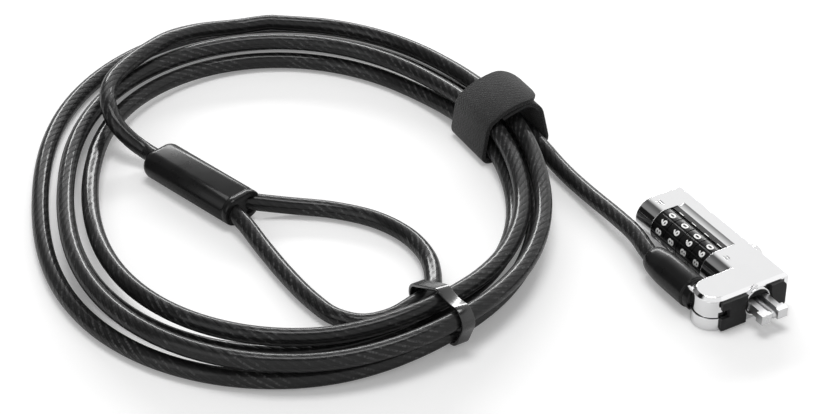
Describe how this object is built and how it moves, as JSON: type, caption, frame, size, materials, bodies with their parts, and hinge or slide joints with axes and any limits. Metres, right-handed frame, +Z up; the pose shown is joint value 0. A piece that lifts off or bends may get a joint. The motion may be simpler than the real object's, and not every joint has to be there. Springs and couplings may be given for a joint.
{
  "type": "laptop cable lock",
  "caption": "Combination cable lock with a slim metal dial head on a coiled steel cable, a slot tip in front, a side release button and a looped eye at the far end",
  "frame": {"origin": "on the floor, below the middle of the outline of the hard parts, which are the head with its hooks and button, the cable's knuckle, sleeve and ferrule", "axes": "+Y runs along the dial axis from the lock tip to the rear of the head, +X points to the release button, +Z is up from the floor; the coiled cable lies behind and to the left"},
  "size_m": [0.1573, 0.1963, 0.0167],
  "materials": {
    "satin_metal": "satin",
    "polished_metal": "polished",
    "hard_steel": "brushed",
    "spring_steel": "drawn",
    "die_casting": "cast",
    "brass_parts": "machined",
    "insert_plastic": "matt",
    "dial_plastic": "semi-gloss",
    "sleeve_plastic": "gloss",
    "cable_jacket": "clear smoke jacket over steel rope",
    "strap_fabric": "woven",
    "tie_plastic": "gloss"
  },
  "bodies": {
    "cable": {"cable_knuckle": "polished_metal", "cable_sleeve": "sleeve_plastic", "cable_ferrule": "die_casting", "cable_lead": "cable_jacket", "cable_coil": "cable_jacket", "cable_tail": "cable_jacket", "eye_loop": "cable_jacket", "eye_sleeve": "sleeve_plastic", "eye_crimp": "die_casting", "coil_strap": "strap_fabric", "coil_tie": "tie_plastic"},
    "head": {"top_cover": "satin_metal", "bottom_cover": "satin_metal", "chassis": "die_casting", "front_insert": "insert_plastic", "nose_ring": "polished_metal", "index_bar": "insert_plastic", "spindle_tube": "brass_parts", "spindle_spring": "spring_steel", "detent_spring": "spring_steel", "hook_pivot_pins": "hard_steel", "cover_screws": "hard_steel", "hinge_pin": "hard_steel"},
    "dial_1": {"dial_wheel_1": "dial_plastic", "clutch_hub_1": "brass_parts"},
    "dial_2": {"dial_wheel_2": "dial_plastic", "clutch_hub_2": "brass_parts"},
    "dial_3": {"dial_wheel_3": "dial_plastic", "clutch_hub_3": "brass_parts"},
    "dial_4": {"dial_wheel_4": "dial_plastic", "clutch_hub_4": "brass_parts"},
    "spindle": {"locking_spindle": "hard_steel"},
    "button": {"release_button": "polished_metal"},
    "hook_left": {"hook_left": "hard_steel"},
    "hook_right": {"hook_right": "hard_steel"},
    "code_screw": {"code_change_screw": "hard_steel"}
  },
  "joints": [
    {"name": "head_swing", "type": "hinge", "parent": "cable", "child": "head", "pos_m": [-0.00868, -0.01337, 0.00475], "axis": [0, 0, 1], "range_deg": [-95, 0]},
    {"name": "dial_1_turn", "type": "hinge", "parent": "head", "child": "dial_1", "pos_m": [0.00122, 0.01648, 0.00475], "axis": [0, 1, 0], "continuous": true},
    {"name": "dial_2_turn", "type": "hinge", "parent": "head", "child": "dial_2", "pos_m": [0.00122, 0.01127, 0.00475], "axis": [0, 1, 0], "continuous": true},
    {"name": "dial_3_turn", "type": "hinge", "parent": "head", "child": "dial_3", "pos_m": [0.00122, 0.00605, 0.00475], "axis": [0, 1, 0], "continuous": true},
    {"name": "dial_4_turn", "type": "hinge", "parent": "head", "child": "dial_4", "pos_m": [0.00122, 0.00082, 0.00475], "axis": [0, 1, 0], "continuous": true},
    {"name": "button_press", "type": "slide", "parent": "head", "child": "button", "axis": [-1, 0, 0], "range_m": [0, 0.0022], "stiffness_N_per_m": 600},
    {"name": "spindle_draw", "type": "slide", "parent": "head", "child": "spindle", "axis": [0, 1, 0], "range_m": [0, 0.00276]},
    {"name": "hook_left_close", "type": "hinge", "parent": "head", "child": "hook_left", "pos_m": [-0.00088, -0.01452, 0.00475], "axis": [0, 0, 1], "range_deg": [0, 2.9]},
    {"name": "hook_right_close", "type": "hinge", "parent": "head", "child": "hook_right", "pos_m": [0.00332, -0.01452, 0.00475], "axis": [0, 0, 1], "range_deg": [-2.9, 0]},
    {"name": "code_change_turn", "type": "hinge", "parent": "head", "child": "code_screw", "pos_m": [0.00122, 0.02388, 0.00475], "axis": [0, 1, 0], "range_deg": [0, 90]}
  ],
  "couplings": [
    {"joint": "spindle_draw", "follows": "button_press", "ratio": 1.25},
    {"joint": "hook_left_close", "follows": "button_press", "rad_per_m": 22.8},
    {"joint": "hook_right_close", "follows": "button_press", "rad_per_m": -22.8}
  ]
}
